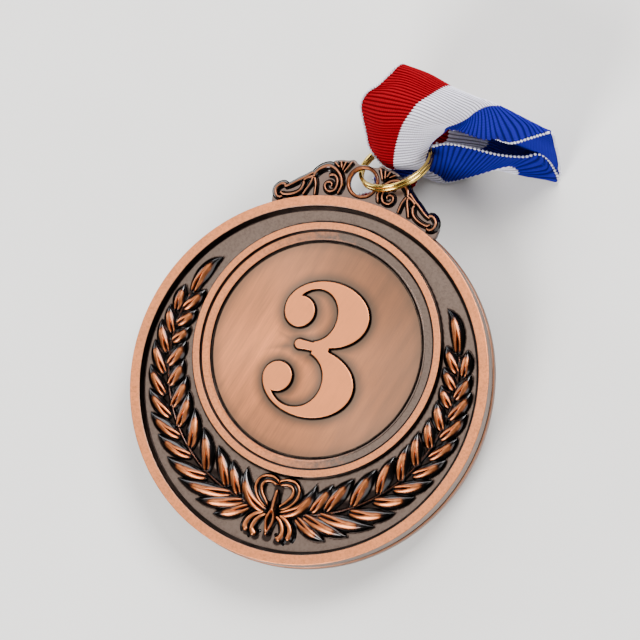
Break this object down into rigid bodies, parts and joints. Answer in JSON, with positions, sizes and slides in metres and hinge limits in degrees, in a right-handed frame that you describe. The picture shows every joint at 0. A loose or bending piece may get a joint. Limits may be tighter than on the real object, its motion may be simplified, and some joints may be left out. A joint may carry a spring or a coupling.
{
  "type": "award medal",
  "caption": "Round third-place award medal with a laurel wreath, raised numeral and scrolled crown, on a split ring and a striped woven ribbon.",
  "frame": {"origin": "centre of the medal's flat back face", "axes": "+Z out of the medal's face, +Y from the medal's centre to the crown's eyelet, +X to the right as the face is read"},
  "size_m": [0.0628, 0.0815, 0.0244],
  "materials": {
    "side_metal": "dark antique bronze plating, satin",
    "rim_metal": "antique copper plating, fine sandy grain",
    "brushed_disc": "antique copper plating, brushed on the diagonal",
    "relief_metal": "blackened copper plating, rubbed bright on the ridges",
    "ring_wire": "bright plated wire",
    "ribbon_cloth": "ribbed grosgrain in equal red, white and blue stripes, picot edges",
    "paper_band": "matt white paper",
    "thread": "white sewing thread"
  },
  "bodies": {
    "medal": {"back_plate": "side_metal", "medal_body": "rim_metal", "centre_bezel": "rim_metal", "centre_disc": "brushed_disc", "numeral_three": "rim_metal", "laurel_left": "relief_metal", "laurel_right": "relief_metal", "laurel_bow": "relief_metal", "crown_plate": "side_metal", "crown_scroll_left": "relief_metal", "crown_scroll_right": "relief_metal", "eyelet": "relief_metal", "ribbon_front_leg": "ribbon_cloth", "ribbon_rear_leg": "ribbon_cloth", "ribbon_rear_run": "ribbon_cloth", "ribbon_hank": "ribbon_cloth", "hank_band": "paper_band", "seam_stitching": "thread"},
    "ribbon_fold": {"ribbon_ring_fold": "ribbon_cloth"},
    "ring": {"split_ring": "ring_wire"}
  },
  "joints": [
    {"name": "ring_swing", "type": "hinge", "parent": "medal", "child": "ribbon_fold", "pos_m": [0.0008, 0.03315, 0.00145], "axis": [0.7722, -0.6211, 0.134], "range_deg": [0, 30]},
    {"name": "ring_turn", "type": "hinge", "parent": "ribbon_fold", "child": "ring", "pos_m": [0.00415, 0.03735, 0.0011], "axis": [-0.3049, 0.5734, 0.7604], "continuous": true}
  ]
}
